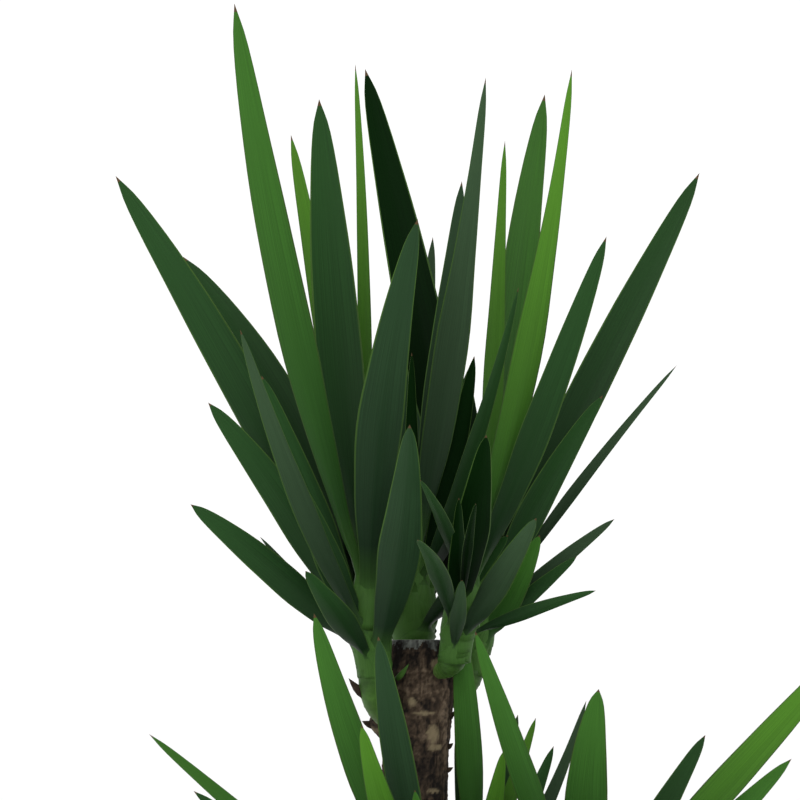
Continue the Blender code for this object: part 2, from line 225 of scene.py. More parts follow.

# %% [markdown]
# A yucca leaf is a sword: narrow where it clasps the stem, widest near the middle and drawn out to a
# hard point. Each row says how far up the stem the leaf sits, how many degrees it leans to the right
# and to the front, how high its tip rises, its width, how its length bows, which way its face looks,
# how full its outline is between slender and broad, and which of six greens it has. The greens are a
# gardener's reading: young leaves are yellow-green, older ones deep, some have a blue or grey bloom.
# The sixth, almost black, is painted shade for the leaves in the heart of the head.

# %% Leaves that show from the front
LEAVES = {
    "left": (
        (0.80, -12.5, 20, 0.5675, 0.037, -0.019, -10, 1.0, "mid"),
        (0.92, -9.5, -12, 0.4625, 0.026, 0.006, 14, 0.9, "young"),
        (0.86, -5.5, 6, 0.4875, 0.048, -0.005, 8, 0.95, "deep"),
        (0.98, -1.2, -2, 0.5200, 0.015, 0.012, -20, 0.7, "young"),
        (0.74, 7.5, 28, 0.3675, 0.047, -0.026, 10, 0.6, "blue"),
        (0.08, 8.5, 42, 0.2275, 0.044, 0.022, -6, 0.6, "blue"),
        (0.35, -29.0, -6, 0.4650, 0.042, 0.020, -14, 1.0, "deep"),
        (0.50, -27.0, -24, 0.3800, 0.038, 0.064, 12, 0.9, "deep"),
        (0.25, -22.5, 30, 0.3050, 0.024, -0.022, 18, 0.5, "grey"),
        (0.30, -22.5, 4, 0.2650, 0.034, -0.010, -9, 0.8, "deep"),
        (0.20, -24.0, 22, 0.1875, 0.030, 0.000, 15, 0.6, "deep"),
        (0.20, -33.5, 2, 0.2475, 0.036, 0.040, -8, 0.9, "deep"),
        (0.10, -49.5, 8, 0.1550, 0.031, 0.035, 6, 1.0, "deep"),
        (0.12, -43.0, -14, 0.1225, 0.012, 0.000, 24, 0.8, "grey"),
        (0.08, -36.5, 52, 0.0900, 0.036, 0.000, -12, 0.6, "deep"),
    ),
    "back": (
        (0.80, 8.5, 10, 0.5000, 0.035, 0.010, 5, 0.0, "grey"),
        (0.88, 7.5, -16, 0.4075, 0.032, 0.010, -16, 0.8, "blue"),
        (0.95, 4.0, -34, 0.3525, 0.022, 0.000, -10, 0.9, "grey"),
        (0.60, 14.5, 4, 0.2450, 0.024, 0.020, 14, 0.9, "night"),
        (0.55, 0.0, 6, 0.2525, 0.018, 0.000, 8, 0.5, "night"),
        (0.60, 19.0, 26, 0.3050, 0.018, 0.023, -20, 0.4, "deep"),
        (0.20, 43.0, 48, 0.1000, 0.034, 0.000, 10, 0.7, "deep"),
    ),
    "front": (
        (0.70, 11.5, 8, 0.5100, 0.030, 0.022, -6, 0.1, "young"),
        (0.60, 21.3, 18, 0.3550, 0.032, 0.008, -14, 0.85, "deep"),
        (0.45, 7.8, 36, 0.1750, 0.038, 0.000, 12, 0.6, "night"),
        (0.30, 0.0, 42, 0.1275, 0.026, 0.000, 18, 0.5, "night"),
        (0.10, 32.0, 44, 0.1250, 0.036, 0.000, -9, 0.8, "grey"),
        (0.20, 71.0, 22, 0.0475, 0.018, -0.060, 15, 0.7, "deep"),
        (0.05, 6.0, 55, 0.0700, 0.022, 0.000, 0, 0.8, "grey"),
    ),
    "right": (
        (0.75, -11.5, -22, 0.5750, 0.050, 0.004, -8, 0.75, "night"),
        (0.90, 3.1, -6, 0.4600, 0.022, 0.000, 6, 0.3, "young"),
        (0.85, 7.5, -14, 0.5200, 0.045, -0.010, 24, 0.9, "mid"),
        (0.70, 26.9, -8, 0.4450, 0.039, -0.005, -12, 0.95, "deep"),
        (0.50, 28.5, 12, 0.2300, 0.030, -0.030, 5, 0.8, "deep"),
        (0.55, 37.8, 4, 0.2575, 0.012, -0.020, -16, 0.6, "grey"),
        (0.45, 51.0, 2, 0.1125, 0.021, -0.020, -10, 0.9, "grey"),
        (0.30, 49.5, 14, 0.0875, 0.022, -0.020, 14, 0.8, "deep"),
        (0.20, 29.5, 20, 0.1170, 0.036, 0.020, -15, 0.8, "mid"),
    ),
    "low_left": (
        (0.20, -50.0, 6, 0.2350, 0.018, 0.000, 8, 0.9, "mid"),
        (0.10, -52.0, -10, 0.1875, 0.030, 0.000, -20, 0.7, "deep"),
        (0.80, -21.0, 10, 0.2950, 0.034, -0.030, 10, 0.9, "mid"),
        (0.70, -19.0, 26, 0.1975, 0.031, -0.030, -6, 0.6, "young"),
        (0.75, -10.5, 16, 0.2775, 0.033, -0.010, -14, 1.0, "blue"),
        (0.60, -7.0, 34, 0.1450, 0.030, 0.000, 12, 0.6, "mid"),
    ),
    "low_back": (
        (0.80, -4.0, 10, 0.3025, 0.028, 0.010, 8, 0.9, "mid"),
        (0.60, -7.0, -4, 0.1825, 0.024, 0.000, -9, 0.6, "deep"),
        (0.90, 13.5, -14, 0.1750, 0.026, 0.000, 15, 0.6, "deep"),
        (0.95, 19.5, -2, 0.1675, 0.022, 0.000, -8, 0.6, "young"),
        (0.85, 10.0, 14, 0.1450, 0.030, 0.000, 6, 0.6, "young"),
        (0.50, 22.0, 4, 0.1825, 0.026, 0.000, 8, 0.8, "deep"),
        (0.60, 26.5, -8, 0.2175, 0.015, 0.041, -12, 0.6, "grey"),
    ),
    "low_right": (
        (0.70, -20.0, 8, 0.2875, 0.027, -0.005, 5, 0.8, "mid"),
        (0.90, 3.5, 18, 0.2125, 0.044, -0.028, -16, 0.8, "mid"),
        (0.50, 31.0, 2, 0.2050, 0.030, 0.000, -10, 0.7, "deep"),
        (0.60, 42.5, 8, 0.3050, 0.034, 0.012, 14, 0.8, "young"),
        (0.30, 46.5, -4, 0.2000, 0.030, 0.000, 8, 0.8, "mid"),
    ),
}
print(sum(len(rows) for rows in LEAVES.values()), "leaves placed by hand")

# %% [markdown]
# The outline of a leaf is a short table of half widths, once for a slender leaf and once for a full
# one. A row's fullness blends the two, so the leaves don't look cut from one pattern. The plain leaf
# of the solids is about a hundredth of its length thick, and the fine one will be thinner.

# %% Shape of a leaf
# Outline of a leaf: half width at each share of the length, of a slender leaf and of a full one,
# as a share of the widest
BLADE = (
    (0.00, 0.56, 0.44),
    (0.10, 0.60, 0.46),
    (0.28, 0.95, 0.78),
    (0.46, 1.00, 1.00),
    (0.64, 0.66, 0.90),
    (0.82, 0.36, 0.65),
    (0.94, 0.20, 0.36),
)
THICKNESS = 0.0105  # of the leaf's length, at the midrib of the plain leaf
CHANNEL = 0.22  # rise of the margins over the midrib, of the half width
ARCH = 0.05  # how far the middle of a spiral leaf stands over its straight line
SEATING = 0.35  # how far out each leaf starts inside its stem, of the stem radius there
AIR = 0.0012  # leaves of two heads, or a leaf and a limb, keep this far apart
print("a leaf", 0.5, "m long is", round(1000 * THICKNESS * 0.5, 1), "mm thick at its base")

# %% [markdown]
# The other leaves, on the sides and at the back, follow the plant's own rule: each new leaf turns by
# the golden angle from the last, and older leaves sit lower and lean further out. Writing the rule as
# a loop keeps the crown full from all sides with a handful of numbers for each head.

# %% Leaves that follow the spiral
GOLDEN_ANGLE = 137.508
MEAN_WIDTH, WIDTH_VARIES = 0.030, 0.012
LOWEST_SEAT, SEATS_SPAN = 0.12, 0.8  # places of the spiral leaves, as shares of the stem
# Among these greens the near-black one is painted shade.
SPIRAL_GREENS = ("deep", "night", "deep", "blue", "night")

# Head, how many, middle heading, spread of headings, least and most lean, longest blade,
# most rise of the tip
SPIRALS = (
    ("left", 7, 98, 14, 40, 68, 0.42, 0.24),
    ("back", 14, 90, 30, 30, 74, 0.46, 0.23),
    ("front", 3, 262, 14, 58, 76, 0.30, 0.10),
    ("right", 8, 84, 14, 38, 70, 0.42, 0.24),
    ("low_left", 12, 250, 180, 58, 84, 0.36, 0.10),
    ("low_back", 12, 75, 110, 52, 84, 0.38, 0.10),
    ("low_right", 13, 300, 180, 58, 84, 0.36, 0.10),
)


def spiral_rows(count, heading, spread, least, most, longest, highest):
    """Rows for leaves set round a stem by the golden angle, older ones lower and more spread."""
    rows = []
    for leaf in range(count):
        turn = math.radians(GOLDEN_ANGLE * leaf)
        swing = math.remainder(turn, 2 * math.pi) / math.pi
        aim = math.radians(heading + spread * swing)
        youth = (leaf + 0.5) / count
        lean = math.radians(most + (least - most) * youth)
        length = min(longest * (0.78 + 0.22 * math.cos(3 * turn)), highest / math.cos(lean))
        slope = math.tan(lean)
        right = math.degrees(math.atan(slope * math.cos(aim)))
        front = -math.degrees(math.atan(slope * math.sin(aim)))
        seat = LOWEST_SEAT + SEATS_SPAN * youth
        width = MEAN_WIDTH + WIDTH_VARIES * math.cos(turn)
        green = SPIRAL_GREENS[leaf % len(SPIRAL_GREENS)]
        rows.append((seat, right, front, length * math.cos(lean), width, 0.0, None, 0.5, green))
    return rows


print(sum(spiral[1] for spiral in SPIRALS), "leaves by the spiral")

# %% [markdown]
# ## How a leaf runs
# Every leaf starts inside its stem, so that its base seems to clasp it, and follows a smooth curve
# through three points: root, middle and tip. At each step along that curve two directions matter: the
# way across the blade, and the way in towards the stem, which is the side that the channel opens to.
# Near the root the blade wraps the stem, and further out it turns to the way its row says it looks.

# %% Spine of a leaf


def stem_ends(head):
    """Foot and tip of the leafy stem of a head, its foot just clear of the shoot."""
    return Vector(SHOOTS[head][3]) + Vector((0, 0, CLEARANCE)), Vector(TIPS[head])


def bend(start, middle, end, share):
    """Point on the smooth curve that passes near the middle point."""
    low, high = start.lerp(middle, share), middle.lerp(end, share)
    return low.lerp(high, share)


def leaf_spine(head, seat, right, front, rise, bow, face):
    """Root, middle and tip of a leaf's curve, and the level way out from its stem."""
    foot, tip = stem_ends(head)
    girth = SHOOTS[head][5] + (TIP_RADIUS - SHOOTS[head][5]) * seat
    reach = rise * Vector((math.tan(math.radians(right)), -math.tan(math.radians(front)), 1.0))
    outward = Vector((reach.x, reach.y, 0)).normalized()
    root = foot.lerp(tip, seat) + SEATING * girth * outward
    reach -= SEATING * girth * outward
    chord = reach.normalized()
    over = Vector((0, 0, 1)) - chord.z * chord
    sideways = Vector((1, 0, 0)) - chord.x * chord
    arch = ARCH if face is None else 0.0
    middle = root + reach / 2 + 2 * reach.length * (arch * over + bow * sideways)
    return root, middle, root + reach, outward


left_root = leaf_spine("left", *LEAVES["left"][0][:4], 0, 0)[0]
print("a leaf on the left head starts at", [round(v, 3) for v in left_root])

# %% Ways across and into a leaf
FACE_TURNED = 0.35  # share of the length by which a blade has turned to the way its row says


def blade_at(spine, face, share, steady=False):
    """Point of the spine at a share of its length, with the way across the blade and the way in.

    A steady blade keeps the same side up where its arch passes level."""
    root, middle, end, outward = spine
    here = bend(root, middle, end, share)
    run = ((middle - root).lerp(end - middle, share)).normalized()
    looks = Vector((math.sin(math.radians(face or 0)), -math.cos(math.radians(face or 0)), 0))
    shown = run.cross(looks).normalized()
    side = Vector((-outward.y, outward.x, 0))
    if steady:
        grown = (side - side.dot(run) * run).normalized()
        turned = face is not None and side.dot((end - root).cross(looks)) < 0
    else:
        grown = run.cross(outward).normalized()
        turned = grown.dot(shown) < 0
    if turned:
        grown = -grown
    mix = min(share / FACE_TURNED, 1.0) if face is not None else 0.0
    across = grown.lerp(shown, mix * mix * (3 - 2 * mix)).normalized()
    inward = run.cross(across)
    upside_down = turned if steady else inward.dot(outward) > 0
    if upside_down:
        inward = -inward
    return here, across, inward


across_foot = blade_at(leaf_spine("left", *LEAVES["left"][0][:4], 0, 0), None, 0.0)[1]
print("and lies", [round(v, 2) for v in across_foot], "across its foot")

# %% [markdown]
# ## Leaves that make room for each other
# In a crowded crown a leaf that would pass through a neighbour leans a little further to the front or
# the back until it is clear, and one that finds no room never opens. A plain four-sided leaf is
# enough for that test: Blender's tree of faces, a BVHTree, says quickly whether two shapes meet.

# %% Plain leaves and their test


def plain_leaf(head, row, swell=0.0):
    """Corner points and faces of a leaf with one ridge, thickened all round by a little air."""
    seat, right, front, rise, width, bow, face, full = row
    spine = leaf_spine(head, seat, right, front, rise, bow, face)
    length = (spine[2] - spine[0]).length
    points, faces = [], []
    for share, slender, broad in BLADE:
        half = slender + (broad - slender) * full
        here, across, inward = blade_at(spine, face, share)
        reach_out = half * width / 2 + swell
        lift = CHANNEL * (1 - 0.5 * share) * half * width / 2
        thick = THICKNESS * length / 2 * (1 - 0.45 * share) + swell
        points += [
            here - across * reach_out + inward * lift,
            here - inward * thick,
            here + across * reach_out + inward * lift,
            here + inward * thick,
        ]
    for ring in range(len(BLADE) - 1):
        for side in range(4):
            a, b = 4 * ring + side, 4 * ring + (side + 1) % 4
            faces.append((a, b, b + 4, a + 4))
    points.append(spine[0] + (spine[2] - spine[0]) * (1 + swell / length))
    last = 4 * (len(BLADE) - 1)
    faces += [(last + side, last + (side + 1) % 4, len(points) - 1) for side in range(4)]
    faces.append((3, 2, 1, 0))
    return points, faces


def tree_of(points, faces):
    return BVHTree.FromPolygons([tuple(p) for p in points], faces)


def tree_of_object(obj):
    return tree_of([v.co for v in obj.data.vertices], [tuple(f.vertices) for f in obj.data.polygons])


first_leaf = plain_leaf("left", LEAVES["left"][0][:-1])
print("a plain leaf has", len(first_leaf[0]), "points and", len(first_leaf[1]), "faces")

# %% Stems of the leafy heads


def round_limb(middles, radii, sides, level_rings):
    """Points and faces of a limb whose rings stand square to its run, except those that lie level."""
    points, faces = [], []
    across = Vector((1, 0, 0))
    for ring, (middle, radius) in enumerate(zip(middles, radii)):
        before, after = middles[max(ring - 1, 0)], middles[min(ring + 1, len(middles) - 1)]
        run = Vector((0, 0, 1)) if ring in level_rings else (after - before).normalized()
        across = (across - across.dot(run) * run).normalized()
        deep = run.cross(across)
        for side in range(sides):
            angle = 2 * math.pi * side / sides
            points.append(middle + radius * (math.cos(angle) * across + math.sin(angle) * deep))
    for ring in range(len(middles) - 1):
        for side in range(sides):
            a, b = ring * sides + side, ring * sides + (side + 1) % sides
            faces.append((a, b, b + sides, a + sides))
    faces.append(tuple(reversed(range(sides))))
    last = (len(middles) - 1) * sides
    faces.append(tuple(range(last, last + sides)))
    return points, faces


def leafy_stem(head, sides=10):
    foot, tip = stem_ends(head)
    radii = [SHOOTS[head][5] * swell for swell in (1.0, 1.3, 1.1, 0.65)]
    return round_limb([foot.lerp(tip, share) for share in (0.0, 0.3, 0.7, 1.15)], radii, sides, (0, 3))


limb_names = [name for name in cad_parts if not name.startswith("leaves_")]
limb_trees = [tree_of_object(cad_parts[name]) for name in sorted(limb_names)]
stem_trees = {head: tree_of(*leafy_stem(head)) for head in TIPS}
print(len(limb_trees), "limbs and", len(stem_trees), "stems to keep clear of")

# %% Let every leaf find its room
RAISES = (0.0, 0.1, 0.2)  # tried moves up the stem, as shares of it
LEANS = (0, 2, -2, 4, -4, 6, -6, 9, -9, 12, -12, 16, -16)  # tried leans to the front, in degrees


def settle(head, row, solids):
    """The row leant to the front or back until its leaf is clear, or None if it never is."""
    seat, right, front, rise, width, bow, face, full = row
    for raised in RAISES:
        for lean in LEANS:
            tried = (min(seat + raised, 0.98), right, front + lean, rise, width, bow, face, full)
            grown = tree_of(*plain_leaf(head, tried, swell=AIR))
            if not any(grown.overlap(solid) for solid in solids):
                return tried
    return None


def grow_heads():
    """Rows of every head, placed so that no leaf meets another head or a limb."""
    settled = {head: [] for head in TIPS}
    trees = {head: [] for head in TIPS}
    wanted = [(head, row) for head, rows in LEAVES.items() for row in rows]
    wanted += [(head, row) for head, *rule in SPIRALS for row in spiral_rows(*rule)]
    for head, (*row, green) in wanted:
        solids = limb_trees + [stem_trees[other] for other in TIPS if other != head]
        solids += [tree for other in TIPS if other != head for tree in trees[other]]
        placed = settle(head, row, solids)
        if placed is not None:
            settled[head].append((placed, green))
            trees[head].append(tree_of(*plain_leaf(head, placed)))
    return settled


heads = grow_heads()
print("leaves on each head:", {head: len(rows) for head, rows in heads.items()})

# %% [markdown]
# ## Greens
# A yucca leaf is tough and slightly waxy. Its face shows fine lengthwise veins, a paler base where it
# leaves the sheath, a thin yellow-green margin and a small dry tip. The base, the margin and the tip
# have places of their own, so they are faces with their own plain colours. Past its base each leaf is
# darker in its inner part, near the heart of its head, which is painted shade, and lighter towards its
# outer end. The veins and the mottling are worked out by nodes from two numbers kept on each point: how
# far along the leaf it is and how far across. Those keep the pattern running with the leaf, however it
# leans.

# %% Tools for surfaces


def number_at(nodes, name):
    """Output of a node that reads one of the numbers kept on each point."""
    reader = nodes.new("ShaderNodeAttribute")
    reader.attribute_name = name
    return reader.outputs["Fac"]


def noise_of(nodes, scale, detail, roughness):
    """Node of a noise pattern with the given size and depth of detail."""
    pattern = nodes.new("ShaderNodeTexNoise")
    pattern.inputs["Scale"].default_value = scale
    pattern.inputs["Detail"].default_value = detail
    pattern.inputs["Roughness"].default_value = roughness
    return pattern


def ramp_of(nodes, stops):
    """Colour ramp with the given places and colours."""
    ramp = nodes.new("ShaderNodeValToRGB")
    for index, (place, colour) in enumerate(stops):
        stop = ramp.color_ramp.elements[index] if index < 2 else ramp.color_ramp.elements.new(place)
        stop.position, stop.color = place, (*colour, 1.0)
    return ramp


def patterned(made, colour, pattern, between, shades, bump, depth):
    """Colours a surface, and lets a pattern darken, lighten and roughen it. Returns the colour node."""
    nodes, links = made.node_tree.nodes, made.node_tree.links
    shader = nodes["Principled BSDF"]
    shade = nodes.new("ShaderNodeMapRange")
    shade.inputs["From Min"].default_value, shade.inputs["From Max"].default_value = between
    shade.inputs["To Min"].default_value, shade.inputs["To Max"].default_value = shades
    links.new(pattern.outputs["Fac"], shade.inputs["Value"])
    tint = nodes.new("ShaderNodeMix")
    tint.data_type = "RGBA"
    tint.blend_type = "MULTIPLY"
    tint.inputs["Factor"].default_value = 1.0
    links.new(colour, tint.inputs["A"])
    links.new(shade.outputs["Result"], tint.inputs["B"])
    links.new(tint.outputs["Result"], shader.inputs["Base Color"])
    ribs = nodes.new("ShaderNodeBump")
    ribs.inputs["Strength"].default_value = bump
    ribs.inputs["Distance"].default_value = depth
    links.new(pattern.outputs["Fac"], ribs.inputs["Height"])
    links.new(ribs.outputs["Normal"], shader.inputs["Normal"])
    return tint


print("tools for noise, ramps and patterns")

# %% Leaf surfaces
# Colour of each green at the outer end of a leaf, and in its inner part, which is darker as painted shade
# in the heart of the head
GREENS = {
    "young": ((0.040, 0.118, 0.009), (0.010, 0.036, 0.004)),
    "mid": ((0.022, 0.076, 0.009), (0.007, 0.028, 0.004)),
    "deep": ((0.009, 0.033, 0.007), (0.003, 0.012, 0.003)),
    "blue": ((0.010, 0.029, 0.010), (0.0045, 0.014, 0.005)),
    "grey": ((0.020, 0.042, 0.018), (0.007, 0.017, 0.007)),
    # The near-black green is painted shade, for leaves deep in a head.
    "night": ((0.0015, 0.009, 0.0012), (0.0008, 0.004, 0.0008)),
}
LEAF_FOOT = (0.030, 0.078, 0.014)
UNDERSIDE_PALER = 1.25
INNER_SHADE_AT, OUTER_AT = 0.16, 0.85  # shares of the length where those two colours are reached
# The near-black painted shade gets almost no shine, so that it stays dark.
SHINE, SHADE_SHINE = 0.07, 0.015
VEINS_ACROSS, VEINS_ALONG = 14.0, 1.6  # stretch of the vein pattern, so that it runs along the leaf


def leaf_surface(name, outer, inner, shine=SHINE):
    """Waxy green that runs from its inner colour, darkened near the base as painted shade, to its outer
    colour, with fine veins.
    """
    made = plain_surface(name, outer, 0.50)
    nodes, links = made.node_tree.nodes, made.node_tree.links
    nodes["Principled BSDF"].inputs["Specular IOR Level"].default_value = shine
    place = nodes.new("ShaderNodeCombineXYZ")
    for number, stretch, axis in (("across", VEINS_ACROSS, "X"), ("along", VEINS_ALONG, "Y")):
        stretched = nodes.new("ShaderNodeMath")
        stretched.operation = "MULTIPLY"
        stretched.inputs[1].default_value = stretch
        links.new(number_at(nodes, number), stretched.inputs[0])
        links.new(stretched.outputs[0], place.inputs[axis])
    veins = noise_of(nodes, 1.6, 5.0, 0.65)
    links.new(place.outputs[0], veins.inputs["Vector"])
    run = ramp_of(nodes, ((0.0, LEAF_FOOT), (INNER_SHADE_AT, inner), (OUTER_AT, outer)))
    links.new(number_at(nodes, "along"), run.inputs["Fac"])
    patterned(made, run.outputs["Color"], veins, (0.25, 0.75), (0.66, 1.36), 0.25, 0.0006)
    return made


leaf_surfaces = []
for name, (outer, inner) in GREENS.items():
    shine = SHADE_SHINE if name == "night" else SHINE
    leaf_surfaces.append(leaf_surface(f"leaf_{name}", outer, inner, shine))
    paler = [tuple(UNDERSIDE_PALER * part for part in colour) for colour in (outer, inner)]
    leaf_surfaces.append(leaf_surface(f"leaf_{name}_underside", *paler, shine))
# The margin's inner colour is darker too, as painted shade.
leaf_surfaces.append(leaf_surface("leaf_margin", (0.034, 0.076, 0.013), (0.014, 0.036, 0.006)))
leaf_surfaces.append(leaf_surface("leaf_dry_tip", (0.060, 0.036, 0.016), (0.050, 0.030, 0.014)))
leaf_surfaces.append(leaf_surface("leaf_sheath", (0.026, 0.068, 0.012), (0.026, 0.068, 0.012)))
MARGIN, DRY_TIP, SHEATH = len(leaf_surfaces) - 3, len(leaf_surfaces) - 2, len(leaf_surfaces) - 1
print(len(leaf_surfaces), "leaf surfaces")

# %% [markdown]
# ## Fine leaves
# Each leaf is a closed blade: a row of points across its upper face and another across its back, at
# some thirty steps from base to tip. The middle is thickest, the margins are thin and stand up into a
# shallow channel, and the last steps close to a point. Soft waves along the margins keep the leaves
# from looking stamped. Two numbers at every point record its place on the leaf for the surface nodes.
# The outline is the plain leaf's, eased into a smooth line that never swings past its own rows.

# %% Outline of a fine leaf
STEPS_ALONG = (0.0, 0.02, 0.045, 0.075, 0.11, 0.15, 0.19, 0.235, 0.28, 0.325, 0.37, 0.415, 0.46, 0.505,
               0.55, 0.595, 0.64, 0.685, 0.73, 0.775, 0.82, 0.86, 0.90, 0.93, 0.955, 0.972, 0.986, 0.996)
STEPS_ACROSS = (-1.0, -0.93, -0.78, -0.55, -0.28, -0.09, 0.0, 0.09, 0.28, 0.55, 0.78, 0.93, 1.0)


def eased(table, share):
    """Value at a share on a smooth line through the rows of a table."""
    shares = [row[0] for row in table]
    values = [row[1] for row in table]
    last = len(table) - 1
    slopes = []
    for i in range(last + 1):
        a, b = max(i - 1, 0), min(i + 1, last)
        left = (values[i] - values[a]) / (shares[i] - shares[a]) if i > a else None
        right = (values[b] - values[i]) / (shares[b] - shares[i]) if b > i else None
        if left is None or right is None:
            slopes.append(left if right is None else right)
        else:
            slopes.append(0.0 if left * right <= 0 else 2 * left * right / (left + right))
    i = max(k for k in range(last) if shares[k] <= share)
    span = shares[i + 1] - shares[i]
    t = (share - shares[i]) / span
    return (
        values[i] * (1 + 2 * t) * (1 - t) ** 2
        + slopes[i] * span * t * (1 - t) ** 2
        + values[i + 1] * t * t * (3 - 2 * t)
        - slopes[i + 1] * span * t * t * (1 - t)
    )


NARROWED = (0.80, 0.82, 0.92, 0.98, 1.0, 1.0, 1.0)  # the real foot is slimmer than the plain leaf's
SLENDER = [(row[0], row[1] * slim) for row, slim in zip(BLADE, NARROWED)] + [(1.0, 0.0)]
FULL = [(row[0], row[2] * slim) for row, slim in zip(BLADE, NARROWED)] + [(1.0, 0.0)]
slender_halves = [eased(SLENDER, share) for share in STEPS_ALONG]
full_halves = [eased(FULL, share) for share in STEPS_ALONG]
print("a full leaf is widest at", STEPS_ALONG[full_halves.index(max(full_halves))], "of its length")

# %% [markdown]
# ### How a leaf holds its stem
# This leaf has no stalk. Its base is a smooth pale sheath that wraps most of the way round the stem,
# one sheath over the next, so the stem itself hardly shows. Each fine leaf therefore begins as a few
# rows of points on part of a circle round the stem, which open out into the blade a little higher up.
# The spine starts inside the stem, so its first part is pushed out to the skin. Left where it was, the
# blade would come through the skin like a petal cut off at its foot.

# %% Sheath round the stem
SHEATH_STEPS = 4
SHEATH_LONG = 0.024
SHEATH_THIN = 0.0012
SHEATH_DROP = 0.008  # how far the lowest sheaths reach over the shoot
OVER_SKIN = 1.03  # a blade leaves its stem just outside the skin
WRAPS, OPENS_BY = 105, 40  # half turn round the stem at the sheath's foot, in degrees, and its loss
# Radius of a leafy stem over that of its shoot, at each share of its height
STEM_SWELL = ((0.0, 0.97), (0.15, 1.04), (0.35, 1.20), (0.7, 1.08), (1.0, 0.72), (1.4, 0.0))
STOUTER = {"back": 1.2}  # heads whose stem is thicker than its shoot


def stem_girth(head, share):
    """Radius of a leafy stem at a share of its height, nothing above its growing tip."""
    if share >= STEM_SWELL[-1][0]:
        return 0.0
    stout = 1 + (STOUTER.get(head, 1.0) - 1) * min(1.0, max(0.0, share) / 0.2)
    return SHOOTS[head][5] * stout * eased(STEM_SWELL, max(share, 0.0))


def clasp(head, seat, outward, hand, above):
    """Two rows of points that wrap the stem, at a height counted in sheaths above the foot of one."""
    foot, tip = stem_ends(head)
    middle = foot.lerp(tip, seat) + Vector((0, 0, SHEATH_LONG * (above - 1)))
    middle.z = max(middle.z, foot.z - SHEATH_DROP)
    girth = stem_girth(head, (middle.z - foot.z) / (tip.z - foot.z))
    radius = girth * (0.92 + 0.13 * min(above, 1.0))
    half_turn = math.radians(WRAPS - OPENS_BY * min(above, 1.0))
    side = hand * Vector((-outward.y, outward.x, 0))
    inner, outer = [], []
    for u in STEPS_ACROSS:
        away = math.cos(u * half_turn) * outward + math.sin(u * half_turn) * side
        away.z = 0.6 * u * u * max(0.0, 1 - above)  # the edges of the foot stand higher than its middle
        thin = SHEATH_THIN * (1 - 0.8 * abs(u))
        inner.append(middle + (radius - thin) * away)
        outer.append(middle + (radius + thin) * away)
    return inner, outer


def buried(head, here, outward):
    """How far a point of a leaf's spine lies under the skin of its stem."""
    foot, tip = stem_ends(head)
    share = (here.z - foot.z) / (tip.z - foot.z)
    return max(0.0, OVER_SKIN * stem_girth(head, share) - (here - foot.lerp(tip, share)).dot(outward))


print("the left stem is", round(2000 * stem_girth("left", 0.35), 1), "mm thick at its swell")

# %% Points of one fine leaf
SHORT_LEAF, SHORT_SLIM = 0.20, 0.78  # leaves under this length are drawn slimmer than their plain ones
SPIRAL_SLIM = {"front": 0.5}  # this head has little room, so its spiral leaves are slim
WRAP_ENDS = 0.12  # share of the length where the blade is free of its sheath
FULL_TURN = 6.28
FACE_SIDE = 0.35  # how much of its thickness a blade has before its middle surface


def leaf_rings(head, row, chance):
    """Rows of points over the face and the back of a leaf, with its tip and its length."""
    seat, right, front, rise, width, bow, face, full = row
    spine = leaf_spine(head, seat, right, front, rise, bow, face)
    outward = spine[3]
    length = (spine[2] - spine[0]).length
    width *= SHORT_SLIM if length < SHORT_LEAF else 1.0
    width *= SPIRAL_SLIM.get(head, 1.0) if face is None else 1.0
    wave_count = chance.uniform(1.5, 3.5)
    wave_start = chance.uniform(0, FULL_TURN, 2)
    wave_size = chance.uniform(0.02, 0.06)
    rim = Vector((-outward.y, outward.x, 0))
    hand = math.copysign(1.0, blade_at(spine, face, 0.0, steady=True)[1].dot(rim))
    rings = [clasp(head, seat, outward, hand, below / SHEATH_STEPS) for below in range(SHEATH_STEPS)]
    for share, slender, broad in zip(STEPS_ALONG, slender_halves, full_halves):
        here, across, inward = blade_at(spine, face, share, steady=True)
        here = here + buried(head, here, outward) * outward
        half = (slender + (broad - slender) * full) * width / 2
        hollow = CHANNEL * (1.9 - 1.5 * share)
        belly = (0.0016 * (1 - share) + 0.00055) * min(1.0, half / 0.004)
        upper, back = [], []
        for u in STEPS_ACROSS:
            edge = 0 if u < 0 else 1
            wave = wave_size * math.sin(wave_count * FULL_TURN * share + wave_start[edge]) * u * u
            lift = (hollow * abs(u) ** 1.5 + wave) * half
            thick = belly * (1 - abs(u) ** 1.6) + 0.00018
            middle = here + across * (u * half) + inward * lift
            upper.append(middle + inward * thick * FACE_SIDE)
            back.append(middle - inward * thick)
        wrap = max(0.0, 1 - share / WRAP_ENDS) ** 2
        held = clasp(head, seat, outward, hand, 1 + share * length / SHEATH_LONG)
        upper = [free.lerp(near, wrap) for free, near in zip(upper, held[0])]
        back = [free.lerp(near, wrap) for free, near in zip(back, held[1])]
        rings.append((upper, back))
    return rings, spine[2], length


rings, _, length = leaf_rings("left", heads["left"][0][0], np.random.default_rng(0))
print("a leaf", round(length, 3), "m long has", len(rings), "rings of", 2 * len(STEPS_ACROSS), "points")

# %% Faces of one fine leaf
SHEATH_ENDS, TIP_STARTS = 0.05, 0.985  # shares of the length
SIDES = 2 * len(STEPS_ACROSS)


def surface_at(share, side, green):
    """Number of the surface at a share of the length and a place round the ring."""
    half = SIDES // 2
    if share > TIP_STARTS:
        return DRY_TIP
    if share < SHEATH_ENDS:
        return SHEATH
    if side in (0, half - 2, half - 1, half, SIDES - 2, SIDES - 1):
        return MARGIN
    return 2 * list(GREENS).index(green) + (1 if side >= half else 0)


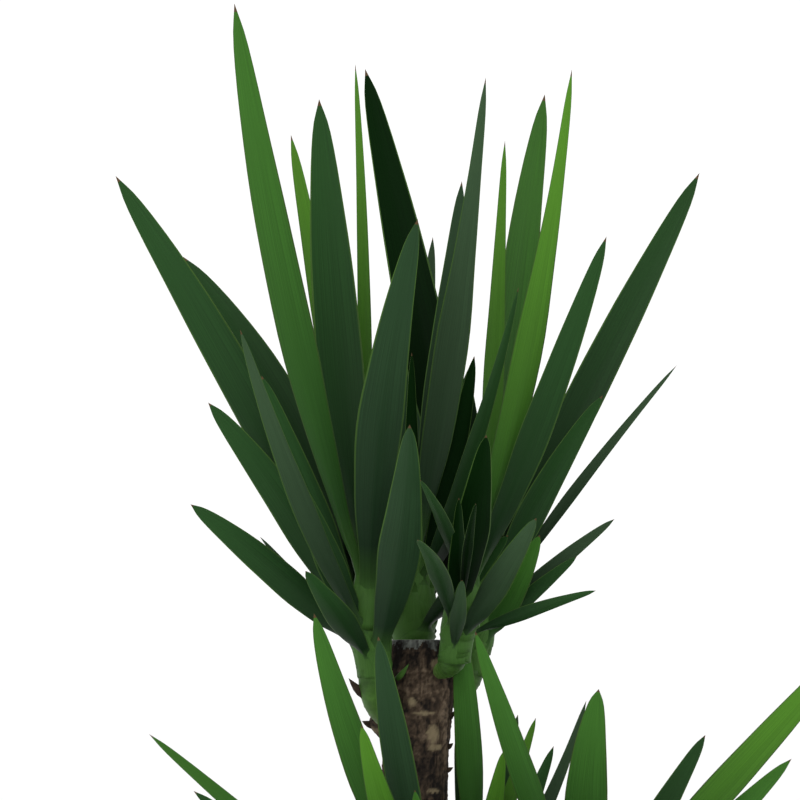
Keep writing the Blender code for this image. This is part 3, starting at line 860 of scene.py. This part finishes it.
def add_leaf(head, row, green, chance, sheet):
    """Adds one closed leaf to the growing lists of points, faces, surface numbers and places."""
    rings, tip, length = leaf_rings(head, row, chance)
    first = len(sheet["points"])
    for upper, back in rings:
        sheet["points"] += upper + back[::-1]
    steps = [-0.01] * SHEATH_STEPS + list(STEPS_ALONG)
    for share in steps:
        sheet["along"] += [max(share, 0.0)] * SIDES
        sheet["across"] += [*STEPS_ACROSS, *STEPS_ACROSS[::-1]]
    sheet["points"].append(tip)
    sheet["along"].append(1.0)
    sheet["across"].append(0.0)
    for ring in range(len(steps) - 1):
        share = (steps[ring] + steps[ring + 1]) / 2
        for side in range(SIDES):
            a, b = first + ring * SIDES + side, first + ring * SIDES + (side + 1) % SIDES
            sheet["faces"].append((a, b, b + SIDES, a + SIDES))
            sheet["surfaces"].append(surface_at(share, side, green))
    last = first + (len(steps) - 1) * SIDES
    for side in range(SIDES):
        sheet["faces"].append((last + side, last + (side + 1) % SIDES, len(sheet["points"]) - 1))
        sheet["surfaces"].append(DRY_TIP)
    sheet["faces"].append(tuple(range(first + SIDES - 1, first - 1, -1)))
    sheet["surfaces"].append(SHEATH)
    return length


print("the first leaf's middle has surface", leaf_surfaces[surface_at(0.5, 5, "mid")].name)

# %% [markdown]
# Each head becomes one object, because a head is one thing to pick up and one to replace. Its leaves
# share a list of surfaces, and each face says by a number which one it wears.

# %% Leaves of every head
CORE_SHARES = (-0.06, 0.0, 0.15, 0.3, 0.45, 0.6, 0.75, 0.9, 1.05, 1.2, 1.3)
CORE_GIRTH = 0.97  # the stem itself lies just inside the sheaths that wrap it
CORE_SIDES = 24
FIRST_SEED = 100


def keep_number(mesh, name, values):
    """Keeps one number at each point of a mesh, for the surface nodes to read."""
    mesh.attributes.new(name, "FLOAT", "POINT").data.foreach_set("value", values)


def add_core(head, sheet):
    """Adds the stem inside the sheaths of a head."""
    foot, tip = stem_ends(head)
    middles = [foot.lerp(tip, share) for share in CORE_SHARES]
    radii = [CORE_GIRTH * stem_girth(head, share) for share in CORE_SHARES]
    points, faces = round_limb(middles, radii, CORE_SIDES, (0, 1))
    first = len(sheet["points"])
    sheet["points"] += points
    sheet["faces"] += [tuple(first + corner for corner in face) for face in faces]
    sheet["surfaces"] += [SHEATH] * len(faces)
    sheet["along"] += [0.0] * len(points)
    sheet["across"] += [0.0] * len(points)


def sheet_object(name, sheet):
    """One smooth object of all the faces gathered so far, with each point's place kept on it."""
    mesh = mesh_of(name, sheet["points"], sheet["faces"])
    for surface in leaf_surfaces:
        mesh.materials.append(surface)
    mesh.polygons.foreach_set("material_index", sheet["surfaces"])
    for key in ("along", "across"):
        keep_number(mesh, key, sheet[key])
    mesh.shade_smooth()
    return stand(name, mesh)


for number, (head, rows) in enumerate(heads.items()):
    chance = np.random.default_rng(FIRST_SEED + number)
    sheet = {"points": [], "faces": [], "surfaces": [], "along": [], "across": []}
    lengths = [add_leaf(head, row, green, chance, sheet) for row, green in rows]
    add_core(head, sheet)
    crown = sheet_object(f"crown_{head}", sheet)
    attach(crown, "root")
    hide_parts(f"leaves_{head}")
    print(head, len(lengths), "leaves, longest", round(max(lengths), 3), "m,", len(sheet["faces"]), "faces")

# %% [markdown]
# ## Bark
# The trunk of a yucca is cork over soft wood. Every leaf that has dropped left a thin ring, the cork
# between the rings cracks upwards into flat plates, and old plates flake off and leave tan wood.
# Where a side shoot breaks through, the bark swells into a collar. Real relief catches the light and
# shows in the outline, so the plates are shaped in the mesh, by a height worked out for every
# point: sums of noise with few settings. Only the finest grain is left to the surface nodes.

# %% Rings, collars, flaked places and a painted highlight
RING_GAP = 0.021
TRUNK_RADIUS = 0.034
COLLAR_WIDE = 0.016
# Swellings round the shoots: trunk, heading in degrees, height, half height, how far it stands out
COLLARS = (
    ("tall", 198, 0.538, 0.013, 0.0150),
    ("tall", 318, 0.572, 0.016, 0.0030),
    ("tall", 8, 0.573, 0.017, 0.0075),
    ("tall", 90, 0.556, 0.016, 0.0040),
    ("short", 205, 0.205, 0.015, 0.0050),
    ("short", 110, 0.222, 0.015, 0.0050),
    ("short", 335, 0.205, 0.015, 0.0050),
)
# Flaked places that show tan wood, one of them a painted highlight: trunk, heading, half width in degrees,
# height, half height
FLAKED_AND_HIGHLIGHT = (
    ("tall", 303, 9, 0.596, 0.0050),
    ("tall", 306, 16, 0.514, 0.0030),
    ("tall", 300, 12, 0.527, 0.0080),
    # A painted highlight: a pale spot of light on the front of the trunk, painted as tan wood.
    ("tall", 262, 7, 0.559, 0.0045),
    ("tall", 305, 14, 0.471, 0.0022),
    ("tall", 196, 12, 0.531, 0.0040),
    ("tall", 282, 16, 0.548, 0.0018),
    ("tall", 120, 14, 0.480, 0.0060),
    ("tall", 60, 18, 0.380, 0.0050),
    ("tall", 230, 14, 0.330, 0.0060),
    ("short", 280, 16, 0.150, 0.0050),
    ("short", 250, 12, 0.240, 0.0060),
    ("short", 60, 14, 0.180, 0.0050),
)
print(len(COLLARS), "collars and", len(FLAKED_AND_HIGHLIGHT), "flaked places")

# %% Height of the bark at any point


def bark_at(trunk, angle, height, start):
    """How far the bark stands out, its relief from 0 to 1, and how much it has flaked, with one painted
    highlight counted as flaked.
    """
    turn = Vector((math.cos(angle), math.sin(angle), 0))
    wander = noise.noise(Vector((turn.x * 1.6, turn.y * 1.6, height * 22 + start)))
    ring = (height + 0.007 * wander) / RING_GAP
    step = ring - math.floor(ring)
    lip_rise = 0.6 + 0.4 * noise.noise(Vector((math.floor(ring) * 3.1, turn.x, turn.y)))
    lip = max(0.0, 1 - step / 0.22) * lip_rise
    away, _ = noise.voronoi(Vector((turn.x * 2.6, turn.y * 2.6, height * 42 + start)))
    crack = 1 - min(1.0, (away[1] - away[0]) / 0.16)
    plate = noise.noise(Vector((turn.x * 3.4, turn.y * 3.4, height * 30 + start + 9)))
    split = noise.noise(Vector((turn.x * 9.0, turn.y * 9.0, height * 16 + start)))
    fissure = max(0.0, 1 - abs(split) / 0.055)
    grain = noise.fractal(Vector((turn.x * 12, turn.y * 12, height * 300)), 0.8, 2.1, 4)
    patch = noise.noise(Vector((turn.x * 1.5, turn.y * 1.5, height * 14 + start + 4)))
    relief = 0.45 + 0.30 * lip - 0.30 * crack + 0.45 * plate
    relief = relief - 0.35 * fissure + 0.25 * grain + 0.45 * patch
    out = 0.0020 * (relief - 0.5) + 0.0004 * grain
    for owner, heading, middle, half, lift in COLLARS:
        if owner == trunk:
            swing = math.remainder(angle - math.radians(heading), 2 * math.pi) * TRUNK_RADIUS
            out += lift * math.exp(-((height - middle) / half) ** 2 - (swing / COLLAR_WIDE) ** 2)
    flaked = 0.0
    for owner, heading, wide, middle, half in FLAKED_AND_HIGHLIGHT:
        if owner == trunk:
            swing = math.remainder(angle - math.radians(heading), 2 * math.pi) / math.radians(wide)
            far = swing * swing + ((height - middle) / half) ** 2 + 0.9 * grain + 0.5 * split
            flaked = max(flaked, min(1.0, max(0.0, 1.5 - far)))
    return out, min(1.0, max(0.0, relief)), flaked


print("bark stands out", round(1000 * bark_at("tall", 0.0, 0.4, 0.0)[0], 2), "mm at one place of the trunk")

# %% Points of the bark
BARK_SIDES = 144
BARK_STEP = 0.0018


def bark_skin(trunk, foot, top, start):
    """Rings of points up a trunk, with each point's relief and how far it has flaked."""
    rings = round((top - foot).length / BARK_STEP)
    seam = (SHORT_FOOT + TALL_FOOT) / 2
    towards = (SHORT_FOOT - TALL_FOOT if trunk == "tall" else TALL_FOOT - SHORT_FOOT).normalized()
    points, relief, flaked = [], [], []
    for ring in range(rings + 1):
        share = ring / rings
        middle = foot.lerp(top, share)
        radius = eased(CANE_PROFILE, share)
        for side in range(BARK_SIDES):
            angle = 2 * math.pi * side / BARK_SIDES
            out, rise, bare_and_highlight = bark_at(trunk, angle, middle.z, start)
            fade = min(1.0, (1 - share) / 0.03)
            place = middle + (radius + out * fade) * Vector((math.cos(angle), math.sin(angle), 0))
            over = (place - seam).dot(towards) + CLEARANCE / 2
            points.append(place - max(0.0, over) * towards)
            relief.append(rise)
            flaked.append(bare_and_highlight)
    return points, relief, flaked


print("a trunk has", BARK_SIDES, "points round it, every", 1000 * BARK_STEP, "mm")

# %% A closed trunk with its sawn top
TOP_RINGS = (0.93, 0.7, 0.4, 0.12)  # rings across the sawn top, as shares of its radius
CORK, WAX = 0, 1


def bark_trunk(trunk, foot, top, start):
    """Closed mesh of a trunk, waxed at its sawn top, with two numbers kept at each point."""
    points, relief, flaked = bark_skin(trunk, foot, top, start)
    faces, surfaces = [], []
    for ring in range(len(points) // BARK_SIDES - 1):
        for side in range(BARK_SIDES):
            a, b = ring * BARK_SIDES + side, ring * BARK_SIDES + (side + 1) % BARK_SIDES
            faces.append((a, b, b + BARK_SIDES, a + BARK_SIDES))
            edge = 0.0070 + 0.012 * noise.noise(points[a] * 110) + 0.006 * noise.noise(points[a] * 330)
            surfaces.append(WAX if points[a].z > top.z - edge else CORK)
    for share in TOP_RINGS:
        base = len(points) - BARK_SIDES
        reach = share * eased(CANE_PROFILE, 1.0)
        for side in range(BARK_SIDES):
            angle = 2 * math.pi * side / BARK_SIDES
            across, deep = math.cos(angle), math.sin(angle)
            dip = 0.0006 * noise.noise(Vector((across * share * 5, deep * share * 5, start)))
            points.append(top + Vector((reach * across, reach * deep, dip + 0.0004)))
            relief.append(0.6)
            flaked.append(0.0)
            a, b = base + side, base + (side + 1) % BARK_SIDES
            faces.append((a, b, b + BARK_SIDES, a + BARK_SIDES))
            surfaces.append(WAX)
    faces.append(tuple(range(len(points) - BARK_SIDES, len(points))))
    surfaces.append(WAX)
    faces.append(tuple(reversed(range(BARK_SIDES))))
    surfaces.append(CORK)
    mesh = mesh_of(f"{trunk}_bark", points, faces)
    mesh.polygons.foreach_set("material_index", surfaces)
    keep_number(mesh, "relief", relief)
    keep_number(mesh, "flaked", flaked)
    mesh.shade_smooth()
    return mesh


print("a sawn top has", len(TOP_RINGS), "rings of wax")

# %% [markdown]
# The colour of the bark follows its relief: cracks and the hollows under a ring are nearly black, which
# is painted shade in those recesses, the plates brown and their weathered edges tan. The number that
# shaped the mesh also drives the colour, so the two always agree. Flaked places mix in bare wood, one
# pale place among them is a painted highlight mixed in the same way, and the sawn top wears wax that has
# greyed, darker in its cracks by the same painted shade.

# %% Cork, wax and shoot surfaces
# Cork by relief: the near-black low end is painted shade in cracks and under the rings, the rest the cork's
# own browns.
CORK_AND_SHADE_STOPS = (
    (0.08, (0.006, 0.0045, 0.0035)),
    (0.50, (0.036, 0.025, 0.016)),
    (0.95, (0.100, 0.074, 0.050)),
)
# The wax darkens with low relief too, as painted shade in its cracks.
WAX_AND_SHADE_STOPS = ((0.05, (0.020, 0.021, 0.019)), (0.70, (0.130, 0.142, 0.125)))
SHOOT_STOPS = (
    (0.0, (0.040, 0.024, 0.012)),
    (0.16, (0.070, 0.120, 0.030)),
    (0.45, (0.036, 0.086, 0.014)),
    (1.0, (0.020, 0.056, 0.009)),
)
# Tan of bare wood, also worn by the one painted highlight on the trunk.
BARE_WOOD_AND_HIGHLIGHT = (0.130, 0.104, 0.062, 1.0)


def rough_surface(name, stops, source, roughness, grain_scale, grain_depth):
    """Dull surface coloured by a kept number, broken up by fine noise that also roughens it."""
    made = plain_surface(name, stops[-1][1], roughness)
    nodes, links = made.node_tree.nodes, made.node_tree.links
    nodes["Principled BSDF"].inputs["Specular IOR Level"].default_value = 0.12
    where = nodes.new("ShaderNodeTexCoord")
    grain = noise_of(nodes, grain_scale, 6.0, 0.7)
    links.new(where.outputs["Object"], grain.inputs["Vector"])
    ramp = ramp_of(nodes, stops)
    links.new(number_at(nodes, source), ramp.inputs["Fac"])
    return made, patterned(made, ramp.outputs["Color"], grain, (0.30, 0.70), (0.55, 1.45), 0.6, grain_depth)


cork, cork_tint = rough_surface("bark_cork", CORK_AND_SHADE_STOPS, "relief", 0.9, 260.0, 0.0009)
wax, _ = rough_surface("waxed_cut", WAX_AND_SHADE_STOPS, "relief", 0.6, 120.0, 0.0005)
shoot_skin, _ = rough_surface("shoot_skin", SHOOT_STOPS, "along", 0.5, 60.0, 0.0003)
cork_nodes, cork_links = cork.node_tree.nodes, cork.node_tree.links
bare_and_highlight = cork_nodes.new("ShaderNodeMix")
bare_and_highlight.data_type = "RGBA"
bare_and_highlight.inputs["B"].default_value = BARE_WOOD_AND_HIGHLIGHT
cork_links.new(number_at(cork_nodes, "flaked"), bare_and_highlight.inputs["Factor"])
cork_links.new(cork_tint.outputs["Result"], bare_and_highlight.inputs["A"])
cork_links.new(bare_and_highlight.outputs["Result"], cork_nodes["Principled BSDF"].inputs["Base Color"])
print("surfaces:", cork.name, wax.name, shoot_skin.name)

# %% Both trunks
TRUNKS = (("tall", TALL_FOOT, TALL_TOP, 0.0), ("short", SHORT_FOOT, SHORT_TOP, 31.0))
for trunk, foot, top, start in TRUNKS:
    mesh = bark_trunk(trunk, foot, top, start)
    mesh.materials.append(cork)
    mesh.materials.append(wax)
    made = stand(f"{trunk}_bark", mesh)
    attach(made, "root")
    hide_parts(f"{trunk}_cane")
    print(made.name, "has", len(made.data.polygons), "faces")

# %% [markdown]
# ## Green shoots
# A side shoot is a smooth green stem with the faint rings of the leaves it has dropped. It is palest
# where it has just come through the bark, and brown at the very collar. It is a tube along the same
# curve as the solid one, with many more rings, each standing out a little at its lower edge.

# %% Fine shoots
SHOOT_RINGS = 40
SHOOT_SIDES = 40
LEAF_SCARS = 6.5  # faint rings up a shoot
SCAR_LIFT = 0.0006
BARK_RISE = {"front": 0.018}  # bark has closed over the lower side of this shoot
SLIM_START = {"front": 0.5}
steps = [step / SHOOT_RINGS for step in range(SHOOT_RINGS + 1)]
scars = [SCAR_LIFT * max(0.0, 1 - ((step * LEAF_SCARS) % 1) / 0.25) for step in steps]
for head, (trunk, first, middle, end, thick_first, thick_last) in SHOOTS.items():
    first, middle, end = Vector(first), Vector(middle), Vector(end)
    first.z += BARK_RISE.get(head, 0.0)
    middle.z += 0.7 * BARK_RISE.get(head, 0.0)
    slim = thick_first * SLIM_START.get(head, 1.0)
    middles = [bend(first, middle, end, step) for step in steps]
    radii = [slim + (thick_last - slim) * step + scar for step, scar in zip(steps, scars)]
    points, faces = round_limb(middles, radii, SHOOT_SIDES, (SHOOT_RINGS,))
    mesh = mesh_of(f"green_{head}", points, faces)
    keep_number(mesh, "along", [step for step in steps for _ in range(SHOOT_SIDES)])
    mesh.materials.append(shoot_skin)
    mesh.shade_smooth()
    made = stand(f"green_{head}", mesh)
    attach(made, "root")
    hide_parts(f"shoot_{head}")
print(len(SHOOTS), "green shoots")

# %% [markdown]
# ## Bud scales
# Dry scales and the stubs of old leaves stick out of the bark here and there. Each is a small closed
# cone with a flat foot, set from where it leaves the bark to where its point ends.

# %% Scales and stubs
# Foot, point, half width at the foot, and whether it is still green
SCALES = (
    ((-0.051, -0.048, 0.569), (-0.063, -0.052, 0.583), 0.0045, False),
    ((-0.040, -0.014, 0.536), (-0.050, -0.018, 0.540), 0.0040, False),
    ((0.035, -0.008, 0.541), (0.044, -0.012, 0.551), 0.0035, False),
    ((0.036, -0.008, 0.514), (0.041, -0.010, 0.518), 0.0028, False),
    ((0.035, -0.010, 0.491), (0.041, -0.012, 0.494), 0.0028, False),
    ((-0.012, -0.036, 0.585), (-0.003, -0.042, 0.597), 0.0030, True),
    ((-0.020, 0.030, 0.500), (-0.026, 0.038, 0.512), 0.0040, False),
    ((0.020, 0.031, 0.420), (0.027, 0.039, 0.430), 0.0040, False),
    ((-0.036, 0.004, 0.360), (-0.046, 0.006, 0.369), 0.0040, False),
)
CONE_SIDES = 8
CONE_RINGS = ((-0.4, 0.9), (0.0, 1.0), (0.35, 0.85), (0.7, 0.45))  # share of the length, share of the width
FLATNESS = 0.35
points, faces, surfaces = [], [], []
for foot, point, half, green in SCALES:
    foot, point = Vector(foot), Vector(point)
    run = (point - foot).normalized()
    flat = run.cross(Vector((0, 1, 0))).normalized()
    thin = run.cross(flat)
    first = len(points)
    for share, wide in CONE_RINGS:
        droop = Vector((0, 0, -0.12 * share * (1 - share) * (point - foot).length))
        for side in range(CONE_SIDES):
            angle = 2 * math.pi * side / CONE_SIDES
            round_about = math.cos(angle) * flat + FLATNESS * math.sin(angle) * thin
            points.append(foot.lerp(point, share) + droop + half * wide * round_about)
    last = first + (len(CONE_RINGS) - 1) * CONE_SIDES
    for ring in range(first, last, CONE_SIDES):
        for side in range(CONE_SIDES):
            a, b = ring + side, ring + (side + 1) % CONE_SIDES
            faces.append((a, b, b + CONE_SIDES, a + CONE_SIDES))
    points.append(point)
    tip = len(points) - 1
    faces += [(last + side, last + (side + 1) % CONE_SIDES, tip) for side in range(CONE_SIDES)]
    faces.append(tuple(reversed(range(first, first + CONE_SIDES))))
    surfaces += [1 if green else 0] * (len(CONE_RINGS) * CONE_SIDES + 1)
mesh = mesh_of("bud_scales", points, faces)
for number, value in (("relief", 0.35), ("flaked", 0.0), ("along", 0.7)):
    keep_number(mesh, number, [value] * len(points))
mesh.materials.append(cork)
mesh.materials.append(shoot_skin)
mesh.polygons.foreach_set("material_index", surfaces)
mesh.shade_smooth()
scales = stand("bud_scales", mesh)
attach(scales, "root")
print(len(SCALES), "scales and stubs")

# %% [markdown]
# ## Size of the finished plant
# The dressed plant should fill the same space as the solids. Its box is written out.

# %% Sizes
dressed_low, dressed_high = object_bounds()
dressed_box = [[round(v, 3) for v in corner] for corner in (dressed_low, dressed_high)]
print("dressed plant reaches", *dressed_box)
